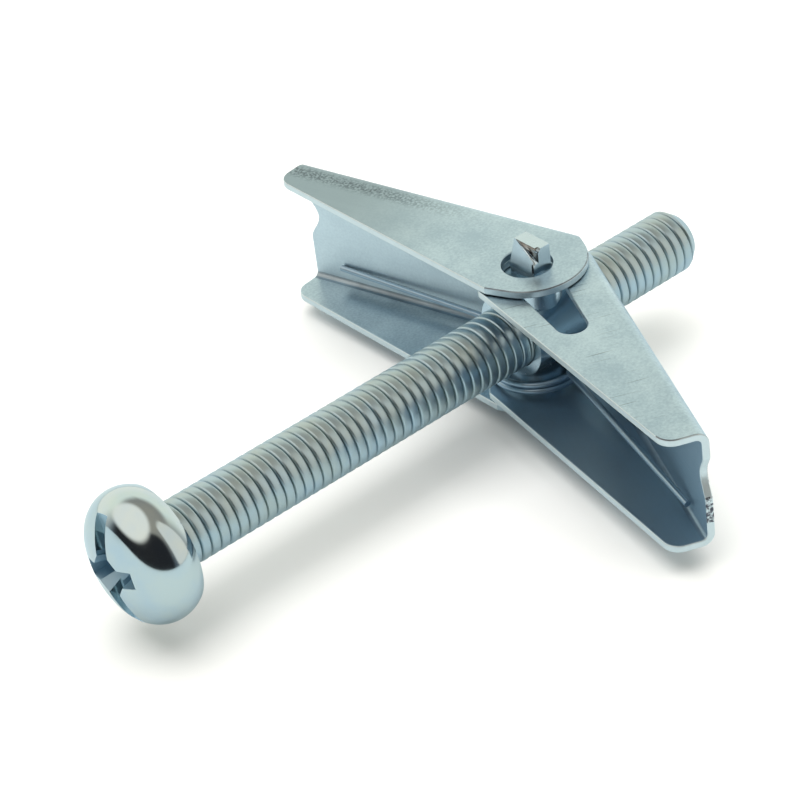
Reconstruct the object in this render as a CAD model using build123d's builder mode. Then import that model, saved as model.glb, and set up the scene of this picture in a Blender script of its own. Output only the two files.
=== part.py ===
from build123d import *
import os
from math import asin, atan2, ceil, cos, degrees, hypot, radians, sin, tan

os.makedirs("parts", exist_ok=True)

# Spring toggle bolt, lying with its pivot axis upright. Lengths in millimetres, angles in degrees.
# +X runs along the screw from its head to its tip, wing A points to +Y and wing B to -Y.

# Screw
thread_diameter = 6.0
screw_length = 60.0        # from under the head to the tip
tip_reach = 18.0           # from the pivot axis to the tip
tip_chamfer_length = 1.0
tip_chamfer_depth = 0.75
head_diameter = 12.3
head_height = 5.7
underside_diameter = 11.2
crown_diameter = 8.8       # flatter top of the head
crown_rise = 1.05
neck_radius = 0.3          # fillet between the shank and the head
slot_width = 1.6
slot_depth = 1.55          # below the crown of the head
recess_span = 6.6          # across two opposite arms of the cross recess
recess_arm_width = 1.7
recess_depth = 3.5
recess_taper = 9.0
drive_turn = 15.0          # slot turned from upright about the screw axis

# Sheet wings
sheet = 0.7
wing_height = 13.3         # over both flanges of wing A, the outer wing
wing_gap = 0.1             # between the flanges of the two wings
wing_drop = 0.2            # middle of the wings below the screw axis
wing_reach = 28.85         # from the pivot axis to the wing tip
fold_offset = 6.18         # from the pivot axis to the outside of the web
front_offset = 5.5         # from the pivot axis across the wing to the line of its front edge
tip_width = 3.9
tip_corner_radius = 1.6
ear_radius_a = 5.3
ear_radius_b = 5.0
ear_shift_along = 0.25     # middle of the ear from the pivot axis, toward the tip
ear_shift_across = 0.45    # and toward the web
fold_tail_a = 1.7          # fold running on past the pivot axis
fold_tail_b = 0.9
tail_corner_radius = 0.5
bend_radius = 0.5          # inside the fold
pivot_hole_radius = 2.3
wing_a_angle = 15.8        # wing turned from square to the screw toward the head
wing_b_angle = 25.0
web_setback = 0.9          # web end behind the flange tips
scoop_depth = 1.2          # hollow in the web end
scoop_height = 6.0
scoop_rise = 0.7
notch_reach = 2.2          # web cut back from the pivot axis to clear the screw
notch_height = 7.8
notch_radius = 1.5
ear_slot_reach = 9.6       # from the pivot axis to the end radius of the slot in wing B's upper flange
ear_slot_end_radius = 1.45
ear_slot_shift = 0.75

# Trunnion nut
thread_clearance = 0.05
barrel_wall = 0.85
barrel_length = 5.6
post_radius = 2.75
post_clearance = 0.05      # to the inside of wing B's flanges
peg_width = 2.15           # along the screw
peg_depth = 3.0            # across the screw
peg_shift = 0.3            # middle of the peg from the pivot axis, toward wing B
peg_reach = 8.6            # from the screw axis to the end of a peg
peg_lean = 0.75            # side toward the head leaning in at the peg's end
lean_height = 2.2          # length of the leaning part
stake_width = 0.37         # taken off the end of the peg at its front corner by staking
stake_angle = 59.0         # slope of the staked corner

# Torsion spring
wire_diameter = 0.62
wire_sides = 10            # flats that stand for the round of the wire
coil_radius = 4.15         # to the middle of the wire
coil_full_turns = 2
turn_clearance = 0.04      # between two turns of the coil
coil_clearance = 0.04      # between the coil and wing B's lower flange
leg_clearance = 0.04       # between a leg's end and the web it presses on
leg_reach = 25.0           # from the pivot axis to the end of a leg
leg_b_start = 24.0         # angle from wing B's direction to the place where its leg leaves the coil
bend_swell_share = 1.06    # round knuckle where a leg bends out of the coil, of the wire

cut_overrun = 2.0          # how far cutting shapes run past a surface

# Derived places: the origin is under the middle of the object's box, on the surface it lies on
half_a = wing_height / 2
half_b = half_a - sheet - wing_gap
seat_reach = screw_length - tip_reach
pivot_x = (seat_reach + head_height - tip_reach) / 2
reach_a = wing_reach * cos(radians(wing_a_angle)) + fold_offset * sin(radians(wing_a_angle))
reach_b = wing_reach * cos(radians(wing_b_angle)) + fold_offset * sin(radians(wing_b_angle))
pivot_y = (reach_b - reach_a) / 2
axis_z = peg_reach
wing_z = axis_z - wing_drop
seat_x = pivot_x - seat_reach
tip_x = pivot_x + tip_reach
shank_radius = thread_diameter / 2
web_inside = fold_offset - sheet

# Screw: shank and head turned in one, then the slot and the cross recess
screw_side = Plane(origin=(0, pivot_y, axis_z), x_dir=(1, 0, 0), z_dir=(0, -1, 0))
crown = Plane(origin=(seat_x - head_height, pivot_y, axis_z), x_dir=(0, 1, 0), z_dir=(-1, 0, 0))
head_top = (seat_x - head_height, 0)
crown_edge = (seat_x - head_height + crown_rise, crown_diameter / 2)
crown_tilt = 2 * atan2(crown_rise, crown_diameter / 2)
shoulder_radius = (head_diameter - crown_diameter) / 2 / (1 - sin(crown_tilt))
shoulder = (crown_edge[0] + shoulder_radius * cos(crown_tilt), head_diameter / 2)
underside_edge = (seat_x, underside_diameter / 2)

with BuildPart() as screw:
    with BuildSketch(screw_side):
        with BuildLine():
            crown_arc = TangentArc(head_top, crown_edge, tangent=(0, 1))
            TangentArc(crown_edge, shoulder, tangent=crown_arc % 1)
            TangentArc(shoulder, underside_edge, tangent=(1, 0))
            Line(head_top, (tip_x, 0))
            Line((tip_x, 0), (tip_x, shank_radius - tip_chamfer_depth))
            Line((tip_x, shank_radius - tip_chamfer_depth), (tip_x - tip_chamfer_length, shank_radius))
            Line((tip_x - tip_chamfer_length, shank_radius), (seat_x + neck_radius, shank_radius))
            JernArc((seat_x + neck_radius, shank_radius), (-1, 0), neck_radius, -90)
            Line((seat_x, shank_radius + neck_radius), underside_edge)
        make_face()
    revolve(axis=Axis((0, pivot_y, axis_z), (1, 0, 0)))
    with BuildSketch(crown):
        Rectangle(slot_width, head_diameter + cut_overrun, rotation=drive_turn)
    extrude(amount=-slot_depth, mode=Mode.SUBTRACT)
    with BuildSketch(crown):
        Rectangle(recess_span, recess_arm_width, rotation=drive_turn)
        Rectangle(recess_arm_width, recess_span, rotation=drive_turn)
    extrude(amount=-recess_depth, taper=recess_taper, mode=Mode.SUBTRACT)

screw.part.label = "screw"
export_step(screw.part, "parts/screw.step")

# Trunnion nut: barrel on the screw, a post across it and a leaning peg with a staked corner at each end
bore_radius = shank_radius + thread_clearance
barrel_start = Plane((pivot_x - barrel_length / 2, pivot_y, axis_z), x_dir=(0, 1, 0), z_dir=(1, 0, 0))
post_top = wing_z + half_b - sheet - post_clearance
post_bottom = wing_z - half_b + sheet + post_clearance
peg_back = pivot_y - peg_shift + peg_depth / 2
peg_side = Plane((pivot_x, peg_back, axis_z), x_dir=(1, 0, 0), z_dir=(0, -1, 0))
peg_face = peg_width / 2
straight_reach = peg_reach - lean_height
stake_drop = cut_overrun * tan(radians(stake_angle))
stake_planes = []
for side in (1, -1):
    stake_start = (pivot_x - peg_face + peg_lean, peg_back, axis_z + side * peg_reach)
    stake_run = (side * stake_width, -side * peg_depth, 0)
    stake_planes.append(Plane(stake_start, x_dir=(-peg_depth, -stake_width, 0), z_dir=stake_run))

with BuildPart() as trunnion_nut:
    with BuildSketch(barrel_start):
        Circle(bore_radius + barrel_wall)
    extrude(amount=barrel_length)
    with BuildSketch(Plane((pivot_x, pivot_y, post_bottom))):
        Circle(post_radius)
    extrude(amount=post_top - post_bottom)
    with BuildSketch(peg_side):
        with BuildLine():
            Polyline(
                (-peg_face, -straight_reach), (-peg_face, straight_reach), (peg_lean - peg_face, peg_reach),
                (peg_face, peg_reach), (peg_face, -peg_reach), (peg_lean - peg_face, -peg_reach),
                close=True,
            )
        make_face()
    extrude(amount=peg_depth)
    with BuildSketch(barrel_start):
        Circle(bore_radius)
    extrude(amount=barrel_length, mode=Mode.SUBTRACT)
    with BuildSketch(*stake_planes):
        with BuildLine():
            Polyline((0, 0), (cut_overrun, 0), (cut_overrun, stake_drop), close=True)
        make_face()
    extrude(amount=peg_depth + cut_overrun, both=True, mode=Mode.SUBTRACT)

trunnion_nut.part.label = "trunnion_nut"
export_step(trunnion_nut.part, "parts/trunnion_nut.step")

# Plan directions of a wing: x from the pivot to the wing tip, y from its open side to its web
toward_a = (-sin(radians(wing_a_angle)), cos(radians(wing_a_angle)), 0)
toward_b = (-sin(radians(wing_b_angle)), -cos(radians(wing_b_angle)), 0)
flat_a = Plane((pivot_x, pivot_y, wing_z), x_dir=toward_a, z_dir=(0, 0, -1))
flat_b = Plane((pivot_x, pivot_y, wing_z), x_dir=toward_b, z_dir=(0, 0, 1))
edge_slope = atan2(front_offset + fold_offset - tip_width, wing_reach)
edge_foot = (
    front_offset * cos(edge_slope) * sin(edge_slope),
    -front_offset * cos(edge_slope) * cos(edge_slope),
)


# A wing: a folded channel cut to a tapering outline with a round ear at the pivot
def build_wing(flat, half_height, rise, ear_radius, fold_tail, slotted):
    tail = -ear_radius - cut_overrun
    across = Plane(flat.from_local_coords((tail, 0, 0)), x_dir=flat.y_dir, z_dir=flat.x_dir)
    along = Plane(flat.from_local_coords((0, fold_offset, 0)), x_dir=flat.x_dir, z_dir=flat.y_dir)
    front = -front_offset - cut_overrun
    inside = half_height - sheet
    flat_half = inside - bend_radius
    web_end = wing_reach - web_setback
    past_tip = wing_reach + cut_overrun
    notch_length = notch_reach - tail
    with BuildPart() as wing:
        with BuildSketch(across):
            with BuildLine():
                FilletPolyline(
                    (front, half_height), (fold_offset, half_height), (fold_offset, -half_height),
                    (front, -half_height), radius=bend_radius + sheet,
                )
                Line((front, -half_height), (front, half_height))
            make_face()
            with BuildLine():
                FilletPolyline(
                    (front, inside), (web_inside, inside), (web_inside, -inside),
                    (front, -inside), radius=bend_radius,
                )
                Line((front, -inside), (front, inside))
            make_face(mode=Mode.SUBTRACT)
        extrude(amount=wing_reach - tail)
        with BuildSketch(flat):
            with BuildLine():
                Polyline(
                    edge_foot, (wing_reach, fold_offset - tip_width), (wing_reach, fold_offset),
                    (-fold_tail, fold_offset), close=True,
                )
            blade = make_face()
            fillet(blade.vertices().group_by(Axis.X)[-1].sort_by(Axis.Y)[0], tip_corner_radius)
            fillet(blade.vertices().group_by(Axis.X)[0], tail_corner_radius)
            with Locations((ear_shift_along, ear_shift_across)):
                Circle(ear_radius)
            make_hull()
        extrude(amount=half_height + cut_overrun, both=True, mode=Mode.INTERSECT)
        with BuildSketch(along):
            with BuildLine():
                Polyline(
                    (web_end, rise - scoop_height / 2), (web_end, -flat_half), (past_tip, -flat_half),
                    (past_tip, flat_half), (web_end, flat_half), (web_end, rise + scoop_height / 2),
                )
                ThreePointArc(
                    (web_end, rise + scoop_height / 2), (web_end - scoop_depth, rise),
                    (web_end, rise - scoop_height / 2),
                )
            make_face()
            with Locations((notch_reach - notch_length / 2, 0)):
                RectangleRounded(notch_length, notch_height, notch_radius)
        extrude(amount=sheet + cut_overrun, both=True, mode=Mode.SUBTRACT)
        with BuildSketch(flat):
            Circle(pivot_hole_radius)
        extrude(amount=half_height + cut_overrun, both=True, mode=Mode.SUBTRACT)
        if slotted:
            with BuildSketch(flat):
                Circle(pivot_hole_radius)
                with Locations((ear_slot_reach, ear_slot_shift)):
                    Circle(ear_slot_end_radius)
                make_hull()
            extrude(amount=half_height + cut_overrun, mode=Mode.SUBTRACT)
    return wing


wing_a = build_wing(flat_a, half_a, scoop_rise, ear_radius_a, fold_tail_a, False)
wing_a.part.label = "wing_a"
export_step(wing_a.part, "parts/wing_a.step")

wing_b = build_wing(flat_b, half_b, -scoop_rise, ear_radius_b, fold_tail_b, True)
wing_b.part.label = "wing_b"
export_step(wing_b.part, "parts/wing_b.step")

# Torsion spring: coil of slanting half turns round the lower post, a leg along the inside of each web
wire_radius = wire_diameter / 2
coil_pitch = wire_diameter + turn_clearance
coil_z = wing_z - half_b + sheet + coil_clearance + wire_radius
leg_end = web_inside - leg_clearance - wire_radius
leg_a_lean = degrees(asin(coil_radius / hypot(leg_end, leg_reach)))
leg_a_touch = degrees(atan2(leg_end, leg_reach)) + 90 - leg_a_lean
coil_start = 90 + wing_a_angle - leg_a_touch
coil_end = -90 - wing_b_angle + leg_b_start
coil_turn = coil_start - coil_end + 360 * coil_full_turns
leg_z = coil_z + coil_pitch * coil_turn / 720 - wing_z
half_turns = []
for index in range(ceil(coil_turn / 180)):
    angle = radians(coil_start - 180 * index)
    middle = Vector(pivot_x, pivot_y, coil_z + coil_pitch * (2 * index + 1) / 4)
    arm = Vector(coil_radius * cos(angle), coil_radius * sin(angle), -coil_pitch / 4)
    onward = Vector(sin(angle), -cos(angle), 0)
    half_turns.append((middle, arm, onward, min(180, coil_turn - 180 * index)))
middle, arm, onward, turn = half_turns[-1]
coil_foot = half_turns[0][0] + half_turns[0][1]
coil_head = middle + arm * cos(radians(turn)) + onward * arm.length * sin(radians(turn))
leg_a_path = Edge.make_line(coil_foot, flat_a.from_local_coords((leg_reach, leg_end, -leg_z)))
leg_b_path = Edge.make_line(coil_head, flat_b.from_local_coords((leg_reach, leg_end, leg_z)))

with BuildPart() as torsion_spring:
    for middle, arm, onward, turn in half_turns:
        with BuildSketch(Plane(middle + arm, z_dir=onward)):
            RegularPolygon(wire_radius, wire_sides)
        revolve(axis=Axis(middle, arm.cross(onward)), revolution_arc=turn)
    with Locations(coil_foot, coil_head):
        Cylinder(wire_radius * bend_swell_share, wire_diameter * bend_swell_share)
    for leg_path in (leg_a_path, leg_b_path):
        with BuildSketch(Plane(leg_path @ 0, z_dir=leg_path % 0)):
            RegularPolygon(wire_radius, wire_sides)
        sweep(path=leg_path)

torsion_spring.part.label = "torsion_spring"
export_step(torsion_spring.part, "parts/torsion_spring.step")
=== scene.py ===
import math
import bmesh
import bpy
from math import cos, sin, pi, radians
from mathutils import Matrix, Vector


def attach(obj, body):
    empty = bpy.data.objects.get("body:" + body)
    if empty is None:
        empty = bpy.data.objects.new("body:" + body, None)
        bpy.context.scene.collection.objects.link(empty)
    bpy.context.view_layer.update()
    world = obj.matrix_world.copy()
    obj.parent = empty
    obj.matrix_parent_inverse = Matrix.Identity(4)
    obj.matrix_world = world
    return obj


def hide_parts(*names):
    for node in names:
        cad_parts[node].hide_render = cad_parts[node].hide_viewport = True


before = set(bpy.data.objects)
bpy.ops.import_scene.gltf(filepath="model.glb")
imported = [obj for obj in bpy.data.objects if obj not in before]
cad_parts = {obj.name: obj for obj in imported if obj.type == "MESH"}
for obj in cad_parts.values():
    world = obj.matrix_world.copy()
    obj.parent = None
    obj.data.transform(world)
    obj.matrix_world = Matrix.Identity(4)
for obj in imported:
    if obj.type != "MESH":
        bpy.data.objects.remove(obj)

scene = bpy.context.scene
scene.view_settings.view_transform = "Standard"
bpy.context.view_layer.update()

mm = 0.001
overrun = 2.0  # how far a cutting shape reaches past what it cuts, in mm
throughHalf = 9.0  # half length of a cutting shape that runs right through a piece, in mm
pivot = Vector((14.85, -0.3419, 8.6))  # where the wings' pivot axis crosses the screw, in mm
xWay, yWay, zWay = Vector((1, 0, 0)), Vector((0, 1, 0)), Vector((0, 0, 1))


# small helpers: shapes are drawn in mm in the solids' own frame
def linear(hexColour):
    parts = [int(hexColour[i:i + 2], 16) / 255 for i in (1, 3, 5)]
    return [part / 12.92 if part <= 0.04045 else ((part + 0.055) / 1.055) ** 2.4 for part in parts] + [1.0]


def connect(tree, node, inputs):
    # a value is set, a socket is linked, and a node is linked by its first output in use
    for key, value in inputs.items():
        if isinstance(value, bpy.types.Node):
            value = next(socket for socket in value.outputs if socket.enabled)
        if isinstance(value, bpy.types.NodeSocket):
            tree.links.new(value, node.inputs[key])
        else:
            node.inputs[key].default_value = value


def addNode(tree, kind, inputs=None, **settings):
    node = tree.nodes.new(kind)
    for key, value in settings.items():
        setattr(node, key, value)
    connect(tree, node, inputs or {})
    return node


def newPiece(name, points, faces):
    mesh = bpy.data.meshes.new(name)
    mesh.from_pydata([tuple(point) for point in points], [], faces)
    piece = bpy.data.objects.new(name, mesh)
    scene.collection.objects.link(piece)
    facesOut(piece)
    return piece


def facesOut(piece, gap=1e-4, holeSides=0, flatAngle=0.0, squashed=0.0):
    # joins doubles and turns faces outward
    # where asked, also fills small holes, melts flat seams and drops squashed faces
    work = bmesh.new()
    work.from_mesh(piece.data)
    bmesh.ops.remove_doubles(work, verts=work.verts, dist=gap)
    if holeSides:
        bmesh.ops.holes_fill(work, edges=work.edges, sides=holeSides)
    if flatAngle:
        bmesh.ops.dissolve_limit(work, angle_limit=radians(flatAngle), verts=work.verts, edges=work.edges)
    if squashed:
        bmesh.ops.dissolve_degenerate(work, edges=work.edges, dist=squashed)
    bmesh.ops.recalc_face_normals(work, faces=work.faces)
    work.to_mesh(piece.data)
    work.free()


def settle(piece):
    # what the modifiers make becomes the piece's own plain mesh
    graph = bpy.context.evaluated_depsgraph_get()
    done = bpy.data.meshes.new_from_object(piece.evaluated_get(graph))
    piece.modifiers.clear()
    old = piece.data
    piece.data = done
    done.name = piece.name
    bpy.data.meshes.remove(old)


def prism(name, outline, place, low, high):
    count = len(outline)
    points = [place @ Vector((x, y, level)) for level in (low, high) for x, y in outline]
    faces = [list(range(count)), list(range(count, 2 * count))]
    faces += [(i, (i + 1) % count, count + (i + 1) % count, count + i) for i in range(count)]
    return newPiece(name, points, faces)


def frustum(name, lowHalf, highHalf, place, low, high):
    # four-sided pocket tool, its half sizes given at both levels
    corners = ((-1, -1), (1, -1), (1, 1), (-1, 1))
    points = []
    for half, level in ((lowHalf, low), (highHalf, high)):
        points += [place @ Vector((x * half[0], y * half[1], level)) for x, y in corners]
    faces = [(0, 1, 2, 3), (4, 5, 6, 7)] + [(i, (i + 1) % 4, 4 + (i + 1) % 4, 4 + i) for i in range(4)]
    return newPiece(name, points, faces)


def lathe(name, profile, place, steps):
    # profile runs from one end of the axis to the other as (along, radius)
    points, faces = [], []
    rows = len(profile)
    for step in range(steps):
        turn = 2 * pi * step / steps
        points += [place @ Vector((x, radius * cos(turn), radius * sin(turn))) for x, radius in profile]
        here, onward = step * rows, (step + 1) % steps * rows
        faces += [(here + i, here + i + 1, onward + i + 1, onward + i) for i in range(rows - 1)]
    piece = newPiece(name, points, faces)
    facesOut(piece, squashed=1e-5)
    return piece


def carve(piece, tool, how="DIFFERENCE"):
    cut = piece.modifiers.new("cut", "BOOLEAN")
    cut.operation = how
    cut.solver = "EXACT"
    cut.object = tool
    settle(piece)
    bpy.data.objects.remove(tool)


def softEdges(piece, width, steps=2, angle=30, gap=2e-4, careful=True):
    facesOut(piece, gap, flatAngle=0.5)  # cuts leave slivers behind, which would stop the softening
    edge = piece.modifiers.new("edge", "BEVEL")
    edge.width = width
    edge.segments = steps
    edge.limit_method = "ANGLE"
    edge.angle_limit = radians(angle)
    edge.use_clamp_overlap = careful
    settle(piece)
    evenShade(piece, sharpFrom=180)


def evenShade(piece, sharpFrom):
    piece.data.shade_smooth()
    piece.data.set_sharp_from_angle(angle=radians(sharpFrom))
    even = piece.modifiers.new("even", "WEIGHTED_NORMAL")
    even.keep_sharp = True
    even.weight = 80
    settle(piece)


def markFaces(piece, zone, values):
    piece.data.attributes.new(zone, "FLOAT", "FACE").data.foreach_set("value", values)


def finishPiece(piece, body, node, material):
    piece.data.materials.clear()
    piece.data.materials.append(material)
    piece.data.transform(Matrix.Scale(mm, 4))
    piece.data.update()
    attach(piece, body)
    if node:
        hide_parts(node)
    print("toggle bolt:", piece.name, len(piece.data.polygons), "faces")


def frameOf(xDir, yDir, zDir, origin=pivot):
    rows = [[xDir[i], yDir[i], zDir[i], origin[i]] for i in range(3)]
    return Matrix(rows + [[0, 0, 0, 1]])


def arcPoints(middleX, middleY, radius, start, end, steps):
    angles = [radians(start + (end - start) * i / steps) for i in range(steps + 1)]
    return [(middleX + radius * cos(angle), middleY + radius * sin(angle)) for angle in angles]


def sweepArc(middle, first, last, steps):
    # points round the middle from one spoke to the other, and the angle between the spokes
    turn = math.atan2(first.x * last.y - first.y * last.x, first.dot(last))
    return [tuple(middle + Matrix.Rotation(turn * i / steps, 2) @ first) for i in range(steps + 1)], turn


def roundCorner(before, corner, after, radius, steps):
    corner = Vector(corner)
    toBefore = (Vector(before) - corner).normalized()
    toAfter = (Vector(after) - corner).normalized()
    half = toBefore.angle(toAfter) / 2
    middle = corner + (toBefore + toAfter).normalized() * radius / sin(half)
    first = corner + toBefore * radius / math.tan(half) - middle
    last = corner + toAfter * radius / math.tan(half) - middle
    return sweepArc(middle, first, last, steps)[0]


def tangentArc(start, heading, end, steps):
    # arc from start to end that leaves start along heading, and the heading it arrives with
    start, heading, end = Vector(start), Vector(heading).normalized(), Vector(end)
    side = Vector((-heading.y, heading.x))
    chord = end - start
    middle = start + side * (chord.length_squared / (2 * side.dot(chord)))
    points, turn = sweepArc(middle, start - middle, end - middle, steps)
    return points, Matrix.Rotation(turn, 2) @ heading


def hullOf(points):
    # the outline drawn tight round all points
    points = sorted(set((round(x, 6), round(y, 6)) for x, y in points))
    hull = []
    for ordered in (points, points[::-1]):
        chain = []
        for x, y in ordered:
            while len(chain) > 1:
                (oldX, oldY), (lastX, lastY) = chain[-2:]
                if (lastX - oldX) * (y - oldY) - (lastY - oldY) * (x - oldX) > 1e-9:
                    break
                chain.pop()
            chain.append((x, y))
        hull += chain[:-1]
    return hull


# finishes
def newMetal(name):
    material = bpy.data.materials.new(name)
    material.use_nodes = True
    shader = material.node_tree.nodes["Principled BSDF"]
    shader.inputs["Metallic"].default_value = 1.0
    return material, material.node_tree, shader


def zincSheet():
    # bright zinc plate on cold-rolled sheet: pale cool grey with soft streaks from rolling,
    # dark specks where a fold rubbed, sheared edges partly painted bright, dark torn ones, and painted shade
    # inside the channel, in the bends' hollow and along the rims
    # the edge tone is partly painted light: on sheared edges, and as a painted reflection on wing A's inner
    # web
    # the inside tone is painted shade: inside the channel and in the bends' hollow
    look = {
        "pale": "#c9dce6", "dull": "#afc4d1", "inside": "#a4bccd", "edge": "#e9f0f1", "darkerTowardTip": "#9aabb3",
        "speck": "#66737a", "torn": "#5d5c66", "cloudMm": 4.0, "speckMm": 0.24, "streakMm": 0.3,
        "streakLengthMm": 9.0, "scratchMm": 0.16, "scratchLengthMm": 5.0, "scratchStrength": 0.7,
        "rubFromMm": 6.0, "rubToMm": 22.0, "rubMiddleMm": 4.2, "rubHalfMm": 1.35, "rubCoreMm": 0.1,
        "rubStrength": 0.9, "tornLowMm": 4.9, "tornHighMm": 7.5, "smooth": 0.3, "rough": 0.37,
        "insideRougher": 0.1, "edgeRougher": 0.2, "grainShare": 0.5, "bumpMm": 0.02, "bumpStrength": 0.2,
    }
    material, tree, shader = newMetal("bright zinc-plated sheet steel")
    place = addNode(tree, "ShaderNodeTexCoord").outputs["Object"]
    sheetUv = addNode(tree, "ShaderNodeUVMap", uv_map="sheet")
    zone = {}
    for name in ("rubbed", "scratched", "inside", "shearedAndPaintedLight", "torn", "rolled"):
        zone[name] = addNode(tree, "ShaderNodeAttribute", attribute_name=name).outputs["Fac"]
    cloudScale, grainScale = 1 / (look["cloudMm"] * mm), 1 / (look["speckMm"] * mm)
    cloud = addNode(tree, "ShaderNodeTexNoise", {"Vector": place, "Scale": cloudScale, "Detail": 2.0})
    grain = addNode(tree, "ShaderNodeTexNoise", {"Vector": place, "Scale": grainScale, "Detail": 3.0})
    specks = addNode(tree, "ShaderNodeMapRange", {"Value": grain, "From Min": 0.4, "From Max": 0.58})

    # specks gather in a band along the fold, more of them towards the tip
    spot = addNode(tree, "ShaderNodeSeparateXYZ", {"Vector": sheetUv}).outputs
    ramp = {
        "Value": spot["X"], "From Min": look["rubFromMm"], "From Max": look["rubToMm"],
        "To Max": look["rubStrength"],
    }
    toTip = addNode(tree, "ShaderNodeMapRange", ramp, interpolation_type="SMOOTHSTEP")
    offBand = addNode(tree, "ShaderNodeMath", {0: spot["Y"], 1: look["rubMiddleMm"]}, operation="SUBTRACT")
    apart = addNode(tree, "ShaderNodeMath", {0: offBand}, operation="ABSOLUTE")
    ramp = {"Value": apart, "From Min": look["rubHalfMm"], "From Max": look["rubCoreMm"]}
    nearBand = addNode(tree, "ShaderNodeMapRange", ramp, interpolation_type="SMOOTHSTEP")
    band = addNode(tree, "ShaderNodeMath", {0: toTip, 1: nearBand}, operation="MULTIPLY")
    onTop = addNode(tree, "ShaderNodeMath", {0: band, 1: zone["rubbed"]}, operation="MULTIPLY")
    worn = addNode(tree, "ShaderNodeMath", {0: specks, 1: onTop}, operation="MULTIPLY")
    # wing A's top turns darker towards the tip
    darkerTowardTip = addNode(tree, "ShaderNodeMath", {0: toTip, 1: zone["rubbed"]}, operation="MULTIPLY")

    # streaks run along the sheet, scratches across it
    streakScale = (1 / look["streakLengthMm"], 1 / look["streakMm"], 1.0)
    stretch = addNode(tree, "ShaderNodeMapping", {"Vector": sheetUv, "Scale": streakScale})
    streak = addNode(tree, "ShaderNodeTexNoise", {"Vector": stretch, "Scale": 1.0, "Detail": 3.0})
    scratchScale = (1 / look["scratchMm"], 1 / look["scratchLengthMm"], 1.0)
    crossway = addNode(tree, "ShaderNodeMapping", {"Vector": sheetUv, "Scale": scratchScale})
    scrape = addNode(tree, "ShaderNodeTexNoise", {"Vector": crossway, "Scale": 1.0, "Detail": 1.0})
    ramp = {"Value": scrape, "From Min": 0.66, "From Max": 0.78, "To Max": look["scratchStrength"]}
    lines = addNode(tree, "ShaderNodeMapRange", ramp)
    parts = {0: lines, 1: zone["scratched"], 2: worn}
    marks = addNode(tree, "ShaderNodeMath", parts, operation="MULTIPLY_ADD")

    # torn metal shows on part of the web's end; painted shade lies in patches along the top rims' edges and
    # in the bends' hollow
    height = addNode(tree, "ShaderNodeSeparateXYZ", {"Vector": place}).outputs["Z"]
    above = addNode(tree, "ShaderNodeMath", {0: height, 1: look["tornLowMm"] * mm}, operation="GREATER_THAN")
    below = addNode(tree, "ShaderNodeMath", {0: height, 1: look["tornHighMm"] * mm}, operation="LESS_THAN")
    between = addNode(tree, "ShaderNodeMath", {0: above, 1: below}, operation="MULTIPLY")
    tornPart = addNode(tree, "ShaderNodeMath", {0: zone["torn"], 1: between}, operation="MULTIPLY")
    burr = addNode(tree, "ShaderNodeMath", {0: tornPart, 1: specks}, operation="MULTIPLY")
    ramp = {"Value": cloud, "From Min": 0.4, "From Max": 0.6, "To Min": 0.25, "To Max": 0.85}
    patches = addNode(tree, "ShaderNodeMapRange", ramp)
    rimShade = addNode(tree, "ShaderNodeMath", {0: zone["rolled"], 1: patches}, operation="MULTIPLY")

    mottle = addNode(tree, "ShaderNodeMath", {0: cloud, 1: grain}, operation="ADD")
    blend = addNode(tree, "ShaderNodeMapRange", {"Value": mottle, "From Min": 0.75, "From Max": 1.25})
    tones = {"Factor": blend, "A": linear(look["pale"]), "B": linear(look["dull"])}
    tone = addNode(tree, "ShaderNodeMix", tones, data_type="RGBA")
    # the torn tone also paints the shade along the rims and in the bends' hollow
    layers = (
        (darkerTowardTip, "darkerTowardTip"), (zone["inside"], "inside"), (zone["shearedAndPaintedLight"], "edge"),
        (burr, "torn"), (rimShade, "torn"), (marks, "speck"),
    )
    for part, colour in layers:
        tones = {"Factor": part, "A": tone, "B": linear(look[colour])}
        tone = addNode(tree, "ShaderNodeMix", tones, data_type="RGBA")
    ramp = {
        "Value": streak, "From Min": 0.3, "From Max": 0.7, "To Min": look["smooth"], "To Max": look["rough"],
    }
    sheen = addNode(tree, "ShaderNodeMapRange", ramp)
    parts = {0: zone["inside"], 1: look["insideRougher"], 2: sheen}
    satin = addNode(tree, "ShaderNodeMath", parts, operation="MULTIPLY_ADD")
    parts = {0: zone["shearedAndPaintedLight"], 1: look["edgeRougher"], 2: satin}
    rough = addNode(tree, "ShaderNodeMath", parts, operation="MULTIPLY_ADD")
    parts = {0: grain, 1: look["grainShare"], 2: streak}
    uneven = addNode(tree, "ShaderNodeMath", parts, operation="MULTIPLY_ADD")
    relief = {"Height": uneven, "Strength": look["bumpStrength"], "Distance": look["bumpMm"] * mm}
    bump = addNode(tree, "ShaderNodeBump", relief)
    connect(tree, shader, {"Base Color": tone, "Roughness": rough, "Normal": bump})
    return material


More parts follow.
